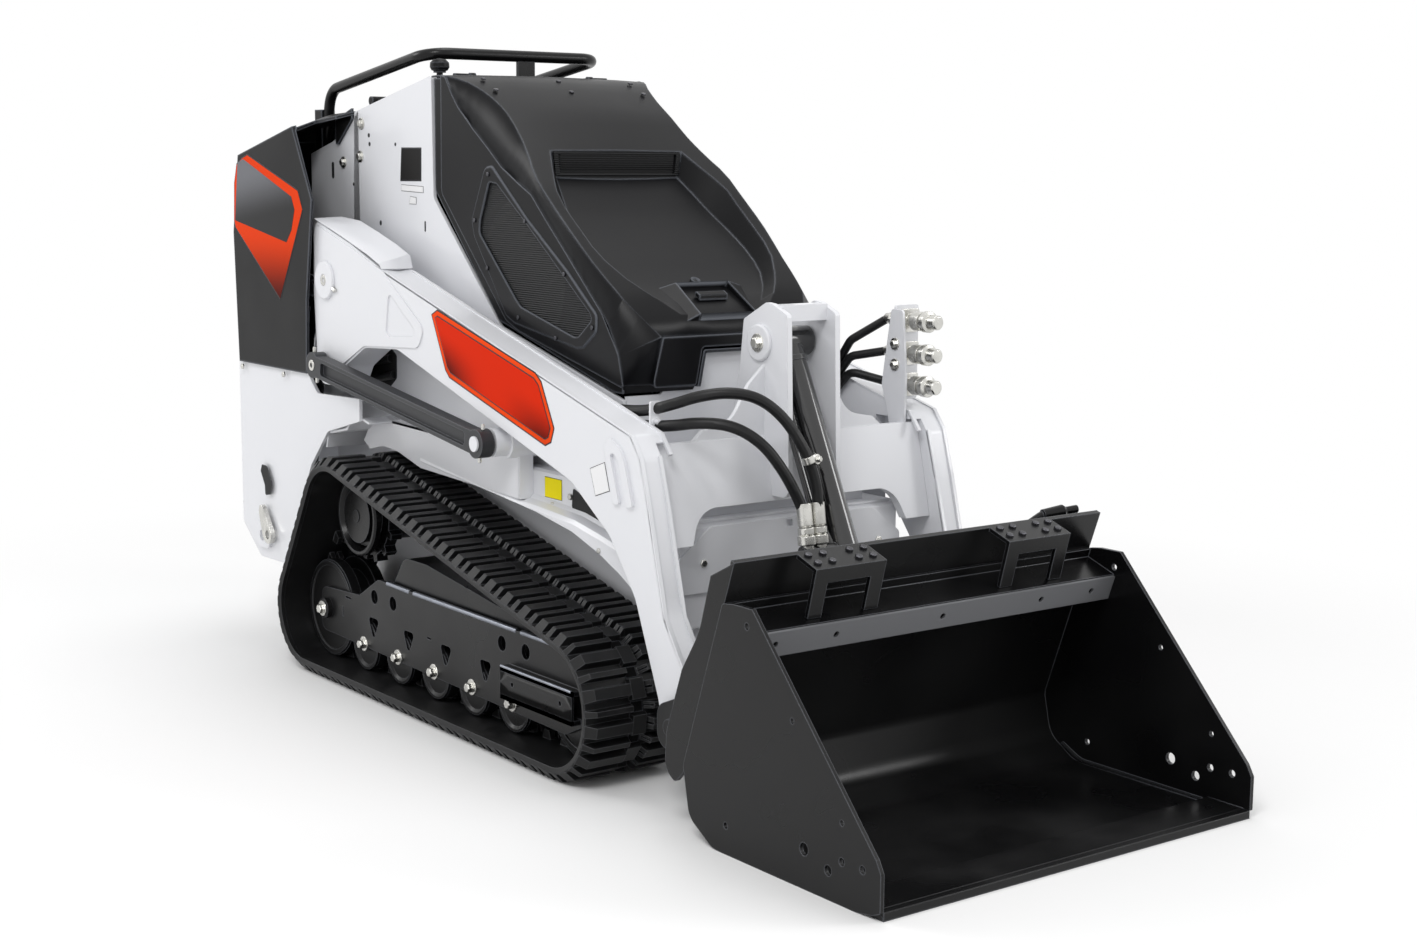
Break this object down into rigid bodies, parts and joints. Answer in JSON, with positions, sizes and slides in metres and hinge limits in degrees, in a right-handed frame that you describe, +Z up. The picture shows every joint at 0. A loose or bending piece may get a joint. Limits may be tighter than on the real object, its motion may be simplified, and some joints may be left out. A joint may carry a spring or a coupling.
{
  "type": "mini skid steer loader",
  "caption": "Compact tracked loader with a moulded hood, a lift arm linkage, a tilting bucket and a rear operator's handle.",
  "frame": {"origin": "on the ground under the middle of the machine's length and width", "axes": "+Y towards the rear, +X towards the machine's left side, +Z up"},
  "size_m": [0.96, 2.5, 1.4383],
  "materials": {
    "white_paint": "satin powder coat",
    "charcoal_moulding": "fine grained satin",
    "black_moulding": "fine grained satin",
    "black_paint": "satin",
    "cast_grey": "painted casting",
    "chrome_rod": "ground and plated",
    "hose_rubber": "smooth hose cover",
    "zinc_plate": "bright zinc plate",
    "track_rubber": "matt moulded rubber"
  },
  "bodies": {
    "chassis": {"track_right": "track_rubber", "track_left": "track_rubber", "rollers_right": "black_paint", "rollers_left": "black_paint", "idlers_right": "black_paint", "idlers_left": "black_paint", "sprocket_right": "cast_grey", "sprocket_left": "cast_grey", "track_frame_right": "black_paint", "track_frame_left": "black_paint", "side_panel_right": "white_paint", "side_panel_left": "white_paint", "rear_panel_right": "white_paint", "rear_panel_left": "white_paint", "fender_right": "white_paint", "fender_left": "white_paint", "chassis_tub": "white_paint", "engine_block": "cast_grey", "front_panel": "white_paint", "rear_cover": "black_moulding", "console": "black_moulding", "controls": "black_moulding", "rear_plate": "white_paint", "handlebar": "black_paint"},
    "hood": {"hood": "charcoal_moulding"},
    "control_links": {"control_link_right": "cast_grey", "control_link_left": "cast_grey"},
    "lift_arm": {"arm_right": "white_paint", "arm_left": "white_paint", "arm_cross": "white_paint", "tilt_hoses": "hose_rubber", "aux_couplers": "zinc_plate", "aux_hoses": "hose_rubber"},
    "rear_links": {"rear_link_right": "cast_grey", "rear_link_left": "cast_grey"},
    "lift_barrels": {"lift_barrel_right": "black_paint", "lift_barrel_left": "black_paint"},
    "lift_rods": {"lift_rod_right": "chrome_rod", "lift_rod_left": "chrome_rod"},
    "bucket": {"attach_plate": "black_paint", "bucket": "black_paint"},
    "tilt_barrel": {"tilt_barrel": "black_paint"},
    "tilt_rod": {"tilt_rod": "chrome_rod"}
  },
  "joints": [
    {"name": "lift", "type": "hinge", "parent": "chassis", "child": "control_links", "pos_m": [0, 0.05, 0.615], "axis": [1, 0, 0], "range_deg": [0, 25.1]},
    {"name": "arm_pivot", "type": "hinge", "parent": "control_links", "child": "lift_arm", "pos_m": [0, 0.788, 0.715], "axis": [-1, 0, 0], "range_deg": [0, 91]},
    {"name": "rear_link_pivot", "type": "hinge", "parent": "chassis", "child": "rear_links", "pos_m": [0, 1.17, 0.844], "axis": [-1, 0, 0], "range_deg": [0, 35]},
    {"name": "lift_barrel_pivot", "type": "hinge", "parent": "chassis", "child": "lift_barrels", "pos_m": [0, 1.05, 0.33], "axis": [-1, 0, 0], "range_deg": [0, 8]},
    {"name": "lift_rod_slide", "type": "slide", "parent": "lift_barrels", "child": "lift_rods", "axis": [0, -0.2015, 0.9795], "range_m": [0, 0.125]},
    {"name": "bucket_tilt", "type": "hinge", "parent": "lift_arm", "child": "bucket", "pos_m": [0, -0.61, 0.165], "axis": [-1, 0, 0], "range_deg": [-50, 20]},
    {"name": "tilt_barrel_pivot", "type": "hinge", "parent": "lift_arm", "child": "tilt_barrel", "pos_m": [0, -0.433, 0.842], "axis": [-1, 0, 0], "range_deg": [-4, 8], "deforming": ["tilt_hoses"]},
    {"name": "tilt_rod_slide", "type": "slide", "parent": "tilt_barrel", "child": "tilt_rod", "axis": [0, -0.4342, -0.9008], "range_m": [-0.06, 0.15]},
    {"name": "hood_hinge", "type": "hinge", "parent": "chassis", "child": "hood", "pos_m": [0, 0.502, 1.374], "axis": [-1, 0, 0], "range_deg": [0, 50]}
  ],
  "couplings": [
    {"joint": "arm_pivot", "follows": "lift", "ratio": 3.6},
    {"joint": "rear_link_pivot", "follows": "lift", "ratio": 1.367},
    {"joint": "lift_barrel_pivot", "follows": "lift", "ratio": 0.277},
    {"joint": "lift_rod_slide", "follows": "lift", "m_per_rad": 0.2732},
    {"joint": "tilt_barrel_pivot", "follows": "bucket_tilt", "ratio": -0.1256},
    {"joint": "tilt_rod_slide", "follows": "bucket_tilt", "m_per_rad": -0.1644}
  ]
}
